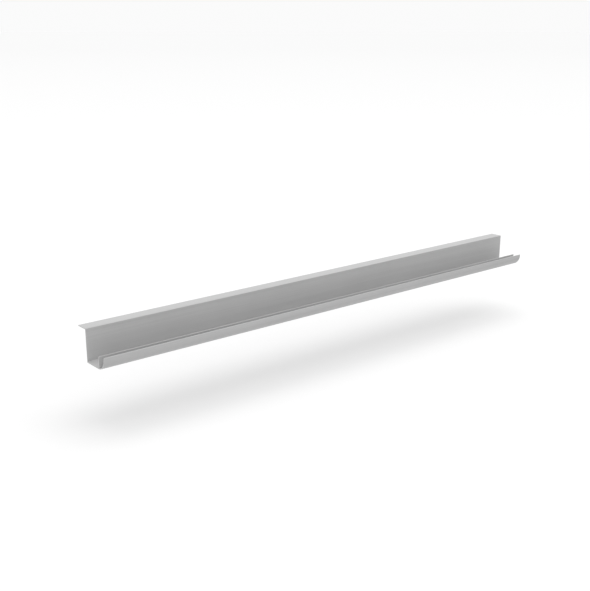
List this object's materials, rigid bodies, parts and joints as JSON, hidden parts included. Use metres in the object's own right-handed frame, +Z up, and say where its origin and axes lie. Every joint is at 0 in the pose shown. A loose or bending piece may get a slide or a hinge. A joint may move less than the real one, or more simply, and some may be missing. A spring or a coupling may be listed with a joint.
{
  "type": "aluminium extrusion profile",
  "caption": "Thin-walled extruded length: a flange and upright web over the floor of an open trough, with an upright divider and a rounded front nose beside a narrow channel.",
  "frame": {"origin": "on the underside of the floor, at mid length and at the middle of the overall depth", "axes": "+X along the length, +Z up from the floor to the flange, +Y towards the back, where the flange points; the rounded nose is at -Y"},
  "size_m": [1, 0.0786, 0.0555],
  "materials": {
    "aluminium": "satin anodised, with fine lines along the length"
  },
  "bodies": {
    "root": {"profile": "aluminium"}
  },
  "joints": []
}
